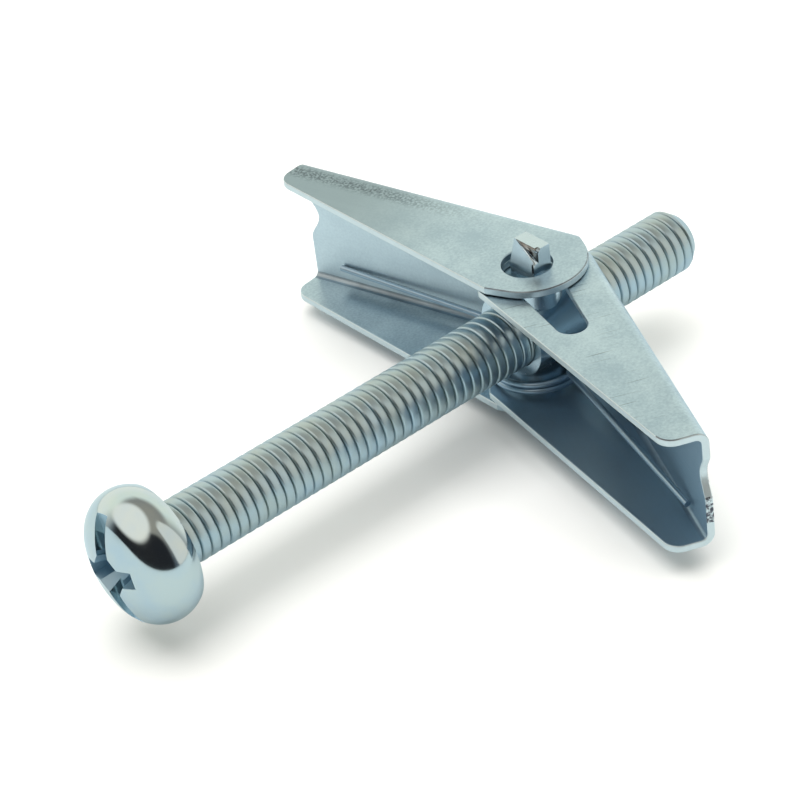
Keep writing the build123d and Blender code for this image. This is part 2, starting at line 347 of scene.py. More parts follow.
def zincScrew(name, cool, warm, smooth, rough, uneven):
    # bright zinc plate on a cold-formed screw: pale steel with a faint warm to blue tint from passivation
    # the recess tone is painted shade inside the slot and the driver recess
    look = {"recess": "#b2cad8", "recessRougher": 0.3, "patchMm": 2.5, "grainMm": 0.25, "bumpMm": 0.03}
    material, tree, shader = newMetal(name)
    place = addNode(tree, "ShaderNodeTexCoord").outputs["Object"]
    patchScale, grainScale = 1 / (look["patchMm"] * mm), 1 / (look["grainMm"] * mm)
    patch = addNode(tree, "ShaderNodeTexNoise", {"Vector": place, "Scale": patchScale, "Detail": 4.0})
    spread = addNode(tree, "ShaderNodeMapRange", {"Value": patch, "From Min": 0.35, "From Max": 0.65})
    tones = {"Factor": spread, "A": linear(cool), "B": linear(warm)}
    tint = addNode(tree, "ShaderNodeMix", tones, data_type="RGBA")
    recessed = addNode(tree, "ShaderNodeAttribute", attribute_name="recessed").outputs["Fac"]
    tones = {"Factor": recessed, "A": tint, "B": linear(look["recess"])}
    tone = addNode(tree, "ShaderNodeMix", tones, data_type="RGBA")
    ramp = {"Value": patch, "From Min": 0.3, "From Max": 0.7, "To Min": smooth, "To Max": rough}
    sheen = addNode(tree, "ShaderNodeMapRange", ramp)
    parts = {0: recessed, 1: look["recessRougher"], 2: sheen}
    satin = addNode(tree, "ShaderNodeMath", parts, operation="MULTIPLY_ADD")
    grain = addNode(tree, "ShaderNodeTexNoise", {"Vector": place, "Scale": grainScale, "Detail": 3.0})
    relief = {"Height": grain, "Strength": uneven, "Distance": look["bumpMm"] * mm}
    bump = addNode(tree, "ShaderNodeBump", relief)
    connect(tree, shader, {"Base Color": tone, "Roughness": satin, "Normal": bump})
    return material


def zincNut():
    # zinc plate on a pressed nut: duller grey, with bare brownish steel where the peg's end was staked
    look = {"plate": "#cbdae2", "bare": "#908d88", "patchMm": 0.8, "smooth": 0.16, "rough": 0.32}
    material, tree, shader = newMetal("dull zinc-plated pressed steel")
    place = addNode(tree, "ShaderNodeTexCoord").outputs["Object"]
    patchScale = 1 / (look["patchMm"] * mm)
    patch = addNode(tree, "ShaderNodeTexNoise", {"Vector": place, "Scale": patchScale, "Detail": 3.0})
    staked = addNode(tree, "ShaderNodeAttribute", attribute_name="staked").outputs["Fac"]
    worn = addNode(tree, "ShaderNodeMath", {0: staked, 1: patch}, operation="MULTIPLY")
    spread = addNode(tree, "ShaderNodeMapRange", {"Value": worn, "From Min": 0.2, "From Max": 0.6})
    tones = {"Factor": spread, "A": linear(look["plate"]), "B": linear(look["bare"])}
    tint = addNode(tree, "ShaderNodeMix", tones, data_type="RGBA")
    ramp = {"Value": patch, "To Min": look["smooth"], "To Max": look["rough"]}
    sheen = addNode(tree, "ShaderNodeMapRange", ramp)
    connect(tree, shader, {"Base Color": tint, "Roughness": sheen})
    return material


def springWire():
    # drawn spring wire, bright: thin clean highlights along its length
    look = {"wire": "#a8bccb", "rough": 0.33}
    material, tree, shader = newMetal("bright drawn spring wire")
    connect(tree, shader, {"Base Color": linear(look["wire"]), "Roughness": look["rough"]})
    return material


sheetFinish, nutFinish, wireFinish = zincSheet(), zincNut(), springWire()
headFinish = zincScrew("bright zinc-plated steel, pressed head", "#c1d0d8", "#cbd5d4", 0.08, 0.12, 0.02)
threadFinish = zincScrew("bright zinc-plated steel, rolled thread", "#b4c7d0", "#bcc8c7", 0.32, 0.42, 0.3)
print("toggle bolt: finishes ready")


# wings: folded channels of thin sheet, wing A outside wing B
wingSizes = {
    "sheet": 0.7, "reach": 28.85, "foldOffset": 6.18, "frontOffset": 5.5, "tipWidth": 3.9, "tipCorner": 1.6,
    "earAlong": 0.25, "earAcross": 0.45, "tailCorner": 0.5, "bendInside": 0.5, "pivotHole": 2.3,
    "holeAcross": -0.2, "drop": 0.2, "scoopDepth": 1.0, "scoopHeight": 5.4, "scoopRise": 1.0,
    "scoopLead": 0.12, "scoopSteps": 24, "notchReach": 2.2, "notchHeight": 7.8, "notchCorner": 1.5,
    "slotReach": 9.6, "slotEnd": 1.45, "slotShift": 0.75, "edgeSoft": 0.12, "sliver": 0.06,
}
wings = {  # side and opening angle in degrees, then what differs between the two
    "wing_a": {
        "side": 1, "angle": 15.8, "halfHeight": 6.65, "earRadius": 5.3, "foldTail": 1.7, "endSlant": 0.6,
        "insideBlue": 0.0, "slotted": False,
    },
    "wing_b": {
        "side": -1, "angle": 25.0, "halfHeight": 5.85, "earRadius": 5.0, "foldTail": 0.9, "endSlant": 0.1,
        "insideBlue": 1.0, "slotted": True,
    },
}
wingMarks = {  # zones in mm and how strong their marks and their painted light and shade are
    "nearFace": 0.02, "topFacing": 0.9, "endZone": 1.5, "endFacing": 0.6, "earZone": 1.5, "earOver": 0.3,
    "slotOverLong": 0.2, "slotOverWide": 0.1, "holeOver": 0.25, "lipZone": 1.6, "lipAcross": 3.5,
    "lipFrom": 0.004, "lipTo": 0.085, "earPaintedLight": 0.45, "slotPaintedLight": 0.4, "webPaintedLight": 0.55, "bendShade": 0.45,
}


def wingWays(wing):
    # directions along the wing and across it
    turn, side = radians(wing["angle"]), wing["side"]
    return Vector((-sin(turn), side * cos(turn), 0)), Vector((cos(turn), side * sin(turn), 0))


def makeWing(name):
    size = {**wingSizes, **wings[name]}
    along, across = wingWays(size)
    middle = pivot - zWay * size["drop"]
    fold, halfHeight, earRadius = size["foldOffset"], size["halfHeight"], size["earRadius"]
    front, tail = -size["frontOffset"] - overrun, -earRadius - overrun
    inFold, inHalf = fold - size["sheet"], halfHeight - size["sheet"]
    inBend, outBend = size["bendInside"], size["bendInside"] + size["sheet"]
    section = [(front, halfHeight)] + arcPoints(fold - outBend, halfHeight - outBend, outBend, 90, 0, steps=6)
    section += arcPoints(fold - outBend, outBend - halfHeight, outBend, 0, -90, steps=6)
    section += [(front, -halfHeight), (front, -inHalf)]
    section += arcPoints(inFold - inBend, inBend - inHalf, inBend, -90, 0, steps=3)
    section += arcPoints(inFold - inBend, inHalf - inBend, inBend, 0, 90, steps=3) + [(front, inHalf)]
    wing = prism(name, section, frameOf(across, zWay, along, middle), tail, size["reach"] + overrun / 2)

    # flanges: a round ear, a straight front edge to the tip, the fold behind, and the pivot holes
    slope = math.atan2(size["frontOffset"] + fold - size["tipWidth"], size["reach"])
    foot = (size["frontOffset"] * cos(slope) * sin(slope), -size["frontOffset"] * cos(slope) ** 2)
    webEnd = size["reach"] - size["endSlant"]
    tipFront, tipBack = (size["reach"], fold - size["tipWidth"]), (webEnd, fold)
    foldEnd = (-size["foldTail"], fold)
    outline = arcPoints(size["earAlong"], size["earAcross"], earRadius, 0, 360, steps=144) + [foot, tipBack]
    outline += roundCorner(foot, tipFront, tipBack, size["tipCorner"], steps=10)
    outline += roundCorner(tipBack, foldEnd, foot, size["tailCorner"], steps=4)
    flat = frameOf(along, across, zWay, middle)
    low, high = -halfHeight - overrun / 2, halfHeight + overrun / 2
    carve(wing, prism("blank", hullOf(outline), flat, low, high), "INTERSECT")
    hole = arcPoints(0, size["holeAcross"], size["pivotHole"], 0, 360, steps=72)
    carve(wing, prism("hole", hullOf(hole), flat, low, 0))
    if size["slotted"]:
        hole += arcPoints(size["slotReach"], size["slotShift"], size["slotEnd"], 0, 360, steps=48)
    carve(wing, prism("hole", hullOf(hole), flat, 0, high))

    # web: a hollow at its end, whose curve starts just outside and runs in softly, and a cut round the screw
    face = frameOf(along, zWay, across, middle)
    lead, rise, halfScoop = size["scoopLead"], size["scoopRise"], size["scoopHeight"] / 2
    hollow, steps = [], size["scoopSteps"]
    for share in [2 * i / steps - 1 for i in range(steps + 1)]:
        depth = (size["scoopDepth"] + lead) * (1 + cos(pi * share)) / 2
        hollow.append((webEnd + lead - depth, rise + halfScoop * share))
    past = size["reach"] + overrun
    tipCut = [(past, rise - halfScoop)] + hollow + [(past, rise + halfScoop)]
    carve(wing, prism("tip cut", tipCut, face, inFold - overrun, fold + overrun))
    top, deep, corner = size["notchHeight"] / 2, size["notchReach"], size["notchCorner"]
    notch = [(tail, -top)] + arcPoints(deep - corner, corner - top, corner, -90, 0, steps=8)
    notch += arcPoints(deep - corner, top - corner, corner, 0, 90, steps=8) + [(tail, top)]
    carve(wing, prism("notch", notch, face, inFold - overrun, fold + overrun))
    softEdges(wing, size["edgeSoft"], steps=3, angle=32, gap=size["sliver"], careful=False)
    markWing(wing, size, along, across, middle)
    finishPiece(wing, name, name, sheetFinish)


def markWing(wing, size, along, across, middle):
    # faces carry the zones that the sheet's finish shows, painted light and shade among them
    mark, slotted = wingMarks, size["slotted"]
    fold, halfHeight, sheet = size["foldOffset"], size["halfHeight"], size["sheet"]
    inHalf, outBend, webEnd = halfHeight - sheet, size["bendInside"] + sheet, size["reach"] - size["endSlant"]
    sheetUv = wing.data.uv_layers.new(name="sheet")  # mm along the wing and across the unfolded sheet
    for loop in wing.data.loops:
        offset = wing.data.vertices[loop.vertex_index].co - middle
        unfolded = offset.dot(across) + max(0.0, inHalf - abs(offset.z))
        sheetUv.data[loop.index].uv = (offset.dot(along), unfolded)
    worn = "scratched" if slotted else "rubbed"  # wing A's top is rubbed along, wing B's scratched across
    zones = {worn: [], "inside": [], "shearedAndPaintedLight": [], "torn": [], "rolled": []}
    for polygon in wing.data.polygons:
        offset = polygon.center - middle
        lengthwise, crosswise = offset.dot(along), offset.dot(across)
        high, out = halfHeight - abs(offset.z), fold - crosswise
        bent = high < outBend and out < outBend
        depth = min(high, out)  # from the sheet's outer face
        if bent:
            depth = outBend - math.hypot(outBend - high, outBend - out)
        onTop = polygon.normal.z > mark["topFacing"] and offset.z > inHalf
        atEnd = lengthwise > webEnd - mark["endZone"] and polygon.normal.dot(along) > mark["endFacing"]
        within = depth >= sheet - mark["nearFace"] and not atEnd
        cut = atEnd or mark["nearFace"] < depth < sheet - mark["nearFace"]

        # painted light: straight sheared edges are painted bright, the ear's polished rim and the slot's
        # edges less so, and the hole walls, which lie in shade, not at all
        paintedLight = 1.0
        fromEar = math.hypot(lengthwise - size["earAlong"], crosswise - size["earAcross"])
        if fromEar < size["earRadius"] + mark["earOver"] and lengthwise < mark["earZone"]:
            paintedLight = mark["earPaintedLight"]
        alongSlot = 0 < lengthwise < size["slotReach"] + size["slotEnd"] + mark["slotOverLong"]
        offSlot = abs(crosswise - size["slotShift"])
        if slotted and alongSlot and offSlot < size["pivotHole"] + mark["slotOverWide"]:
            paintedLight = mark["slotPaintedLight"]
        if math.hypot(lengthwise, crosswise - size["holeAcross"]) < size["pivotHole"] + mark["holeOver"]:
            paintedLight = 0.0

        # painted shade: a dark line along the upper rim's edge, and the bends' hollow is painted a little
        # dark too
        atRim = lengthwise < mark["earZone"] and crosswise < mark["lipAcross"]
        if slotted:
            atRim = lengthwise > size["reach"] - mark["lipZone"]
        rimShade = atRim and mark["lipFrom"] < depth < mark["lipTo"] and offset.z > 0 and paintedLight > 0
        zones[worn].append(float(onTop))
        # painted shade: all of wing B's inner faces and both wings' inner bends get the darker, bluer inside
        # tone
        zones["inside"].append(within * (1.0 if bent else size["insideBlue"]))
        # sheared edges, partly real and partly painted light; on wing A the inner web gets the bright edge
        # tone as a painted reflection
        zones["shearedAndPaintedLight"].append(paintedLight * cut if cut or slotted else mark["webPaintedLight"] * (within and out < high))
        zones["torn"].append(float(slotted and atEnd))
        zones["rolled"].append(max(float(rimShade), mark["bendShade"] * (within and bent)))
    for zone, values in zones.items():
        markFaces(wing, zone, values)


for wingName in wings:
    makeWing(wingName)


# trees of Geometry Nodes for thread, coil and legs
def newTree(name, sizes, counts=(), takesPath=False):
    tree = bpy.data.node_groups.new(name, "GeometryNodeTree")
    if takesPath:
        tree.interface.new_socket("Geometry", in_out="INPUT", socket_type="NodeSocketGeometry")
    tree.interface.new_socket("Geometry", in_out="OUTPUT", socket_type="NodeSocketGeometry")
    for size in sizes:
        tree.interface.new_socket(size, in_out="INPUT", socket_type="NodeSocketFloat")
    for count in counts:
        tree.interface.new_socket(count, in_out="INPUT", socket_type="NodeSocketInt")
    return tree, addNode(tree, "NodeGroupInput").outputs


def dressTree(tree, shape, material):
    whole = addNode(tree, "GeometryNodeRealizeInstances", {"Geometry": shape})
    dressed = addNode(tree, "GeometryNodeSetMaterial", {"Geometry": whole, "Material": material})
    addNode(tree, "NodeGroupOutput", {"Geometry": dressed})
    return tree


def grow(name, tree, values, points=(), edges=()):
    # a piece made by a node tree, its named inputs set before it is first worked out
    mesh = bpy.data.meshes.new(name)
    mesh.from_pydata([tuple(point) for point in points], list(edges), [])
    piece = bpy.data.objects.new(name, mesh)
    scene.collection.objects.link(piece)
    made = piece.modifiers.new(name, "NODES")
    made.node_group = tree
    for item in tree.interface.items_tree:
        if item.in_out == "INPUT" and item.name in values:
            made[item.identifier] = values[item.name]
    settle(piece)
    return piece


# screw: head turned, cut and softened, thread grown by nodes along the shank
screwSizes = {
    "seatX": -27.15, "length": 60.0, "radius": 3.0, "pitch": 1.0, "depth": 0.34, "tipLength": 1.0,
    "tipDepth": 0.75, "stepsPerPitch": 12, "stepsRound": 65,
    "headHeight": 5.7, "headRadius": 6.15, "underRadius": 5.6, "crownRadius": 4.4, "crownRise": 1.05,
    "neck": 0.3, "slotWidth": 1.6, "slotDepth": 1.55, "recessSpan": 6.6, "armWidth": 1.7, "recessDepth": 3.5,
    "recessTaper": 9.0, "heartSpan": 5.2, "heartFoot": 2.4, "heartShort": 0.05, "driveTurn": 15.0,
    "edgeSoft": 0.12, "recessShadeDepth": 0.12, "recessShadeRim": 0.3, "recessShadeFoot": 1.0,
}
threadShape = {"gather": 0.82, "flank": 0.22, "crown": 0.05, "endShare": 0.0002}


def makeHead(seat):
    size = screwSizes
    top = -size["headHeight"]
    crownEnd = (top + size["crownRise"], size["crownRadius"])
    crown, heading = tangentArc((top, 0), (0, 1), crownEnd, steps=14)
    tilt = 2 * math.atan2(size["crownRise"], size["crownRadius"])
    bulge = (size["headRadius"] - size["crownRadius"]) / (1 - sin(tilt))  # radius of the shoulder
    shoulderEnd = (top + size["crownRise"] + bulge * cos(tilt), size["headRadius"])
    shoulder = tangentArc(crown[-1], heading, shoulderEnd, steps=16)[0]
    under = tangentArc(shoulder[-1], (1, 0), (0, size["underRadius"]), steps=12)[0]
    neck = arcPoints(size["neck"], size["radius"] + size["neck"], size["neck"], 180, 270, steps=6)
    profile = crown + shoulder[1:] + under[1:] + neck + [(size["neck"], 0)]
    head = lathe("screw_head", profile, Matrix.Translation(seat), steps=128)

    # a through slot, two tapered arms across each other, and a square heart turned between them
    turn = radians(size["driveTurn"])
    slotWay, armWay = Vector((0, sin(turn), cos(turn))), Vector((0, cos(turn), -sin(turn)))
    drive = frameOf(slotWay, armWay, xWay, seat + xWay * top)
    out, deep = -1.0, size["recessDepth"]  # the tools start above the crown
    slotHalf = (throughHalf, size["slotWidth"] / 2)
    carve(head, frustum("slot", slotHalf, slotHalf, drive, out, size["slotDepth"]))
    lean = math.tan(radians(size["recessTaper"]))
    longer, wider = size["recessSpan"] / 2, size["armWidth"] / 2
    mouth = (longer - out * lean, wider - out * lean)
    foot = (longer - deep * lean, wider - deep * lean)
    carve(head, frustum("arm", mouth, foot, drive, out, deep))
    carve(head, frustum("arm", mouth[::-1], foot[::-1], drive, out, deep))
    diamond = drive @ Matrix.Rotation(pi / 4, 4, "Z")
    near, far = size["heartSpan"] / 2 / math.sqrt(2), size["heartFoot"] / 2 / math.sqrt(2)
    wide = near - out * (near - far) / deep
    carve(head, frustum("heart", (wide, wide), (far, far), diamond, out, deep - size["heartShort"]))
    softEdges(head, size["edgeSoft"])

    # faces below the domed top, in the slot and the driver recess, get a darker, bluer tone as painted shade,
    # and more roughness
    dome = crown + shoulder[1:]
    recessed = []
    for polygon in head.data.polygons:
        spot = polygon.center - seat
        reach = math.hypot(spot.y, spot.z)
        surface = min((x for x, radius in dome if radius >= reach), default=0.0)
        inCrown = reach < size["headRadius"] - size["recessShadeRim"] and spot.x < -size["recessShadeFoot"]
        recessed.append(float(inCrown and spot.x > surface + size["recessShadeDepth"]))
    markFaces(head, "recessed", recessed)
    finishPiece(head, "screw", "screw", headFinish)


def threadTree():
    shape = threadShape
    sizes = ("Length", "Radius", "Pitch", "Depth", "Tip Length", "Tip Depth")
    tree, given = newTree("screw thread", sizes, ("Steps Along", "Steps Round"))
    length, radius, pitch = given["Length"], given["Radius"], given["Pitch"]
    steps = {"Vertices X": given["Steps Along"], "Vertices Y": given["Steps Round"]}
    grid = addNode(tree, "GeometryNodeMeshGrid", steps)
    position = addNode(tree, "GeometryNodeInputPosition")
    spot = addNode(tree, "ShaderNodeSeparateXYZ", {"Vector": position}).outputs
    along = addNode(tree, "ShaderNodeMath", {0: spot["X"], 1: 0.5}, operation="ADD")
    turn = addNode(tree, "ShaderNodeMath", {0: spot["Y"], 1: 0.5}, operation="ADD")

    # columns follow the helix and gather in the groove
    # they run two pitches longer than the shank, because they lean by one pitch
    longest = addNode(tree, "ShaderNodeMath", {0: pitch, 1: 2.0, 2: length}, operation="MULTIPLY_ADD")
    even = addNode(tree, "ShaderNodeMath", {0: along, 1: longest}, operation="MULTIPLY")
    evenTurns = addNode(tree, "ShaderNodeMath", {0: even, 1: pitch}, operation="DIVIDE")
    evenAngle = addNode(tree, "ShaderNodeMath", {0: evenTurns, 1: 2 * pi}, operation="MULTIPLY")
    wave = addNode(tree, "ShaderNodeMath", {0: evenAngle}, operation="SINE")
    shift = addNode(tree, "ShaderNodeMath", {0: wave, 1: shape["gather"] / (2 * pi)}, operation="MULTIPLY")
    run = addNode(tree, "ShaderNodeMath", {0: shift, 1: pitch, 2: even}, operation="MULTIPLY_ADD")
    lag = addNode(tree, "ShaderNodeMath", {0: turn, 1: 1.0}, operation="SUBTRACT")
    lead = addNode(tree, "ShaderNodeMath", {0: lag, 1: pitch, 2: run}, operation="MULTIPLY_ADD")
    fromSeat = addNode(tree, "ShaderNodeMath", {0: lead, 1: 0.0}, operation="MAXIMUM")
    x = addNode(tree, "ShaderNodeMath", {0: fromSeat, 1: length}, operation="MINIMUM")

    # the groove has steep flanks, its crests are a little rounded, and it runs in over one pitch
    runTurns = addNode(tree, "ShaderNodeMath", {0: run, 1: pitch}, operation="DIVIDE")
    phase = addNode(tree, "ShaderNodeMath", {0: runTurns}, operation="FRACT")
    offGroove = addNode(tree, "ShaderNodeMath", {0: phase, 1: 0.5}, operation="SUBTRACT")
    apart = addNode(tree, "ShaderNodeMath", {0: offGroove}, operation="ABSOLUTE")
    crest = addNode(tree, "ShaderNodeMath", {0: apart, 1: 2.0}, operation="MULTIPLY")
    ramp = {"Value": crest, "From Min": 0.0, "From Max": shape["flank"]}
    flank = addNode(tree, "ShaderNodeMapRange", ramp, interpolation_type="SMOOTHSTEP")
    groove = addNode(tree, "ShaderNodeMath", {0: 1.0, 1: flank}, operation="SUBTRACT")
    offCrest = addNode(tree, "ShaderNodeMath", {0: 1.0, 1: crest}, operation="SUBTRACT")
    curve = addNode(tree, "ShaderNodeMath", {0: offCrest, 1: 2.0}, operation="POWER")
    crown = addNode(tree, "ShaderNodeMath", {0: curve, 1: shape["crown"]}, operation="MULTIPLY")
    cut = addNode(tree, "ShaderNodeMath", {0: groove, 1: given["Depth"], 2: crown}, operation="MULTIPLY_ADD")
    runIn = addNode(tree, "ShaderNodeMapRange", {"Value": x, "From Max": pitch})
    cutHere = addNode(tree, "ShaderNodeMath", {0: cut, 1: runIn}, operation="MULTIPLY")
    body = addNode(tree, "ShaderNodeMath", {0: radius, 1: cutHere}, operation="SUBTRACT")

    # chamfered tip, and both ends closed to a point
    tipStart = addNode(tree, "ShaderNodeMath", {0: length, 1: given["Tip Length"]}, operation="SUBTRACT")
    tip = addNode(tree, "ShaderNodeMapRange", {"Value": x, "From Min": tipStart, "From Max": length})
    tipCut = addNode(tree, "ShaderNodeMath", {0: tip, 1: given["Tip Depth"]}, operation="MULTIPLY")
    cone = addNode(tree, "ShaderNodeMath", {0: radius, 1: tipCut}, operation="SUBTRACT")
    started = addNode(tree, "ShaderNodeMath", {0: along, 1: shape["endShare"]}, operation="GREATER_THAN")
    unended = addNode(tree, "ShaderNodeMath", {0: along, 1: 1 - shape["endShare"]}, operation="LESS_THAN")
    between = addNode(tree, "ShaderNodeMath", {0: started, 1: unended}, operation="MULTIPLY")
    thinner = addNode(tree, "ShaderNodeMath", {0: body, 1: cone}, operation="MINIMUM")
    reach = addNode(tree, "ShaderNodeMath", {0: thinner, 1: between}, operation="MULTIPLY")
    angle = addNode(tree, "ShaderNodeMath", {0: turn, 1: 2 * pi}, operation="MULTIPLY")
    cosine = addNode(tree, "ShaderNodeMath", {0: angle}, operation="COSINE")
    sine = addNode(tree, "ShaderNodeMath", {0: angle}, operation="SINE")
    y = addNode(tree, "ShaderNodeMath", {0: reach, 1: cosine}, operation="MULTIPLY")
    z = addNode(tree, "ShaderNodeMath", {0: reach, 1: sine}, operation="MULTIPLY")
    place = addNode(tree, "ShaderNodeCombineXYZ", {"X": x, "Y": y, "Z": z})
    shaped = addNode(tree, "GeometryNodeSetPosition", {"Geometry": grid, "Position": place})
    closed = addNode(tree, "GeometryNodeMergeByDistance", {"Geometry": shaped, "Distance": 0.0005})
    return dressTree(tree, closed, threadFinish)


def makeThread(seat):
    size = screwSizes
    values = {
        "Length": size["length"], "Radius": size["radius"], "Pitch": size["pitch"], "Depth": size["depth"],
        "Tip Length": size["tipLength"], "Tip Depth": size["tipDepth"],
        "Steps Along": int(size["stepsPerPitch"] * (size["length"] / size["pitch"] + 2)) + 1,
        "Steps Round": size["stepsRound"],
    }
    thread = grow("screw_thread", threadTree(), values)
    thread.data.transform(Matrix.Translation(seat))
    facesOut(thread, gap=5e-4, holeSides=4)  # also closes the small gap where the helix starts
    thread.data.shade_smooth()
    finishPiece(thread, "screw", None, threadFinish)


headSeat = Vector((screwSizes["seatX"], pivot.y, pivot.z))
makeHead(headSeat)
makeThread(headSeat)


# trunnion nut: barrel round the screw, post across it, a leaning peg with a staked corner at each end
nutSizes = {
    "barrelRadius": 3.9, "bore": 3.05, "barrelLength": 5.6, "postRadius": 2.75, "postLow": 3.3,
    "postHigh": 13.5, "pegWidth": 2.15, "pegDepth": 3.0, "pegShift": 0.3, "pegReach": 8.6, "lean": 0.75,
    "leanHeight": 2.2, "notchDepth": 1.35, "notchBack": 1.03, "notchRight": 0.04, "notchOver": 0.3,
    "coreX": -0.3, "coreY": -1.42, "coreNear": 0.06, "seamHalf": 0.09, "seamDepth": 0.45, "seamOver": 0.5,
    "seamFrom": 5.2, "edgeSoft": 0.1, "sharpFrom": 40,
}


def makeNut():
    size = nutSizes
    half, bore = size["barrelLength"] / 2, size["bore"]
    back, front = size["pegDepth"] / 2 - size["pegShift"], -size["pegDepth"] / 2 - size["pegShift"]
    place = Matrix.Translation(pivot)
    barrel = [(-half, 0), (-half, size["barrelRadius"]), (half, size["barrelRadius"]), (half, 0)]
    nut = lathe("nut", barrel, place, steps=96)
    postRing = arcPoints(0, 0, size["postRadius"], 0, 360, steps=96)[:-1]
    low, high = size["postLow"] - pivot.z, size["postHigh"] - pivot.z
    carve(nut, prism("post", postRing, frameOf(xWay, yWay, zWay), low, high), "UNION")
    face, top = size["pegWidth"] / 2, size["pegReach"]
    straight, leaning = top - size["leanHeight"], size["lean"] - face
    outline = [(-face, -straight), (-face, straight), (leaning, top)]
    outline += [(face, top), (face, -top), (leaning, -top)]
    carve(nut, prism("peg", outline, frameOf(xWay, zWay, yWay), front, back), "UNION")
    drill = [(-throughHalf, 0), (-throughHalf, bore), (throughHalf, bore), (throughHalf, 0)]
    carve(nut, lathe("bore", drill, place, steps=96))
    softEdges(nut, size["edgeSoft"])

    # the notch runs down both outer walls to the front corner and bares the core behind them
    deep, over = top - size["notchDepth"], size["notchOver"]
    for side in (1, -1):
        upWay = zWay * side
        walls = (
            (size["notchBack"], front, frameOf(yWay, upWay, xWay), -face - over, size["coreX"]),
            (size["notchRight"], -face, frameOf(xWay, upWay, yWay), front - over, size["coreY"]),
        )
        for start, corner, ways, near, far in walls:
            fall = size["notchDepth"] / (start - corner)
            wall = [(start + over / fall, top + over), (corner - over, deep - over * fall)]
            wall += [(corner - over, top + over)]
            carve(nut, prism("notch", wall, ways, near, far))
        slant, thin, inward, outward = math.sqrt(0.5), size["seamHalf"], size["seamDepth"], -size["seamOver"]
        ends = ((outward, -thin), (inward, -thin), (inward, thin), (outward, thin))
        seam = [(-face + slant * (reach - aside), front + slant * (reach + aside)) for reach, aside in ends]
        carve(nut, prism("seam", seam, frameOf(xWay, yWay, upWay), size["seamFrom"], top + overrun / 2))
    evenShade(nut, size["sharpFrom"])
    staked = []
    for polygon in nut.data.polygons:
        spot = polygon.center - pivot
        behind = abs(spot.x - size["coreX"]) < size["coreNear"]
        beside = abs(spot.y - size["coreY"]) < size["coreNear"] and spot.x < size["notchRight"]
        staked.append(float((behind or beside) and abs(spot.z) > deep))
    markFaces(nut, "staked", staked)
    finishPiece(nut, "nut", "trunnion_nut", nutFinish)


makeNut()


# torsion spring: the coil grown by nodes, one leg on each wing with a tail inside the coil
springSizes = {
    "wireRadius": 0.31, "coilRadius": 4.15, "pitch": 0.66, "startAngle": 13.56, "turn": 824.6, "lowZ": 3.6,
    "legReach": 25.0, "legAcross": 5.13, "legZ": 4.355, "legBend": 0.45, "tailA": 80.0, "tailB": 70.0,
    "tailSteps": 20, "tailThinner": 0.01,
}


def wireAlong(tree, path, wireRadius):
    ring = addNode(tree, "GeometryNodeCurvePrimitiveCircle", {"Resolution": 20, "Radius": wireRadius})
    wire = addNode(tree, "GeometryNodeCurveToMesh", {"Curve": path, "Profile Curve": ring, "Fill Caps": True})
    return dressTree(tree, wire, wireFinish)


def coilTree():
    tree, given = newTree("spring coil", ("Turns", "Coil Radius", "Height", "Wire Radius"))
    spiral = {
        "Resolution": 72, "Rotations": given["Turns"], "Start Radius": given["Coil Radius"],
        "End Radius": given["Coil Radius"], "Height": given["Height"], "Reverse": True,
    }
    return wireAlong(tree, addNode(tree, "GeometryNodeCurveSpiral", spiral), given["Wire Radius"])


def legTree():
    tree, given = newTree("spring leg", ("Wire Radius", "Bend Radius"), takesPath=True)
    path = addNode(tree, "GeometryNodeMeshToCurve", {"Mesh": given["Geometry"]})
    bend = {"Curve": path, "Count": 8, "Radius": given["Bend Radius"], "Limit Radius": True}
    return wireAlong(tree, addNode(tree, "GeometryNodeFilletCurve", bend, mode="POLY"), given["Wire Radius"])


def makeSpring():
    size = springSizes
    turns, radius = size["turn"] / 360, size["coilRadius"]
    values = {
        "Turns": turns, "Coil Radius": radius, "Height": size["pitch"] * turns,
        "Wire Radius": size["wireRadius"],
    }
    coil = grow("spring_coil", coilTree(), values)
    foot = Vector((pivot.x, pivot.y, size["lowZ"]))
    coil.data.transform(Matrix.Translation(foot) @ Matrix.Rotation(radians(size["startAngle"]), 4, "Z"))
    facesOut(coil)
    coil.data.shade_smooth()
    finishPiece(coil, "nut", "torsion_spring", wireFinish)

    tree = legTree()
    values = {"Wire Radius": size["wireRadius"] - size["tailThinner"], "Bend Radius": size["legBend"]}
    tails = {  # where each leg's tail starts and leaves, in degrees along the coil
        "wing_a": (size["tailA"], 0.0),
        "wing_b": (size["turn"] - size["tailB"], size["turn"]),
    }
    for body, (start, end) in tails.items():
        points = []
        for step in range(size["tailSteps"] + 1):
            run = start + (end - start) * step / size["tailSteps"]
            angle = radians(size["startAngle"] - run)
            height = size["pitch"] * run / 360
            points.append(foot + Vector((radius * cos(angle), radius * sin(angle), height)))
        along, across = wingWays(wings[body])
        tip = pivot + along * size["legReach"] + across * size["legAcross"]
        points.append(Vector((tip.x, tip.y, size["legZ"])))
        joins = [(i, i + 1) for i in range(len(points) - 1)]
        leg = grow("spring_leg_" + body[-1], tree, values, points, joins)
        facesOut(leg)
        leg.data.shade_smooth()
        finishPiece(leg, body, None, wireFinish)


makeSpring()


# camera at the photograph's place, its directions fitted to the screw and the wings' corners
view = {
    "imagePixels": 800, "lensPixels": 3077.13, "sensorMm": 36.0, "clipMetres": 0.01,
    "fromPivotMm": (-144.0233, -174.6656, 155.3144), "right": (0.753256, -0.648782, -0.108109),
    "down": (-0.448573, -0.386527, -0.80584), "forward": (0.481027, 0.655499, -0.58218),
}
camera = bpy.data.cameras.new("camera")
camera.sensor_width = view["sensorMm"]
camera.lens = view["lensPixels"] / view["imagePixels"] * view["sensorMm"]
camera.clip_start = view["clipMetres"]
cameraPiece = bpy.data.objects.new("camera", camera)
scene.collection.objects.link(cameraPiece)
right, down, forward = Vector(view["right"]), Vector(view["down"]), Vector(view["forward"])
cameraPiece.matrix_world = frameOf(right, -down, -forward, (pivot + Vector(view["fromPivotMm"])) * mm)
scene.camera = cameraPiece

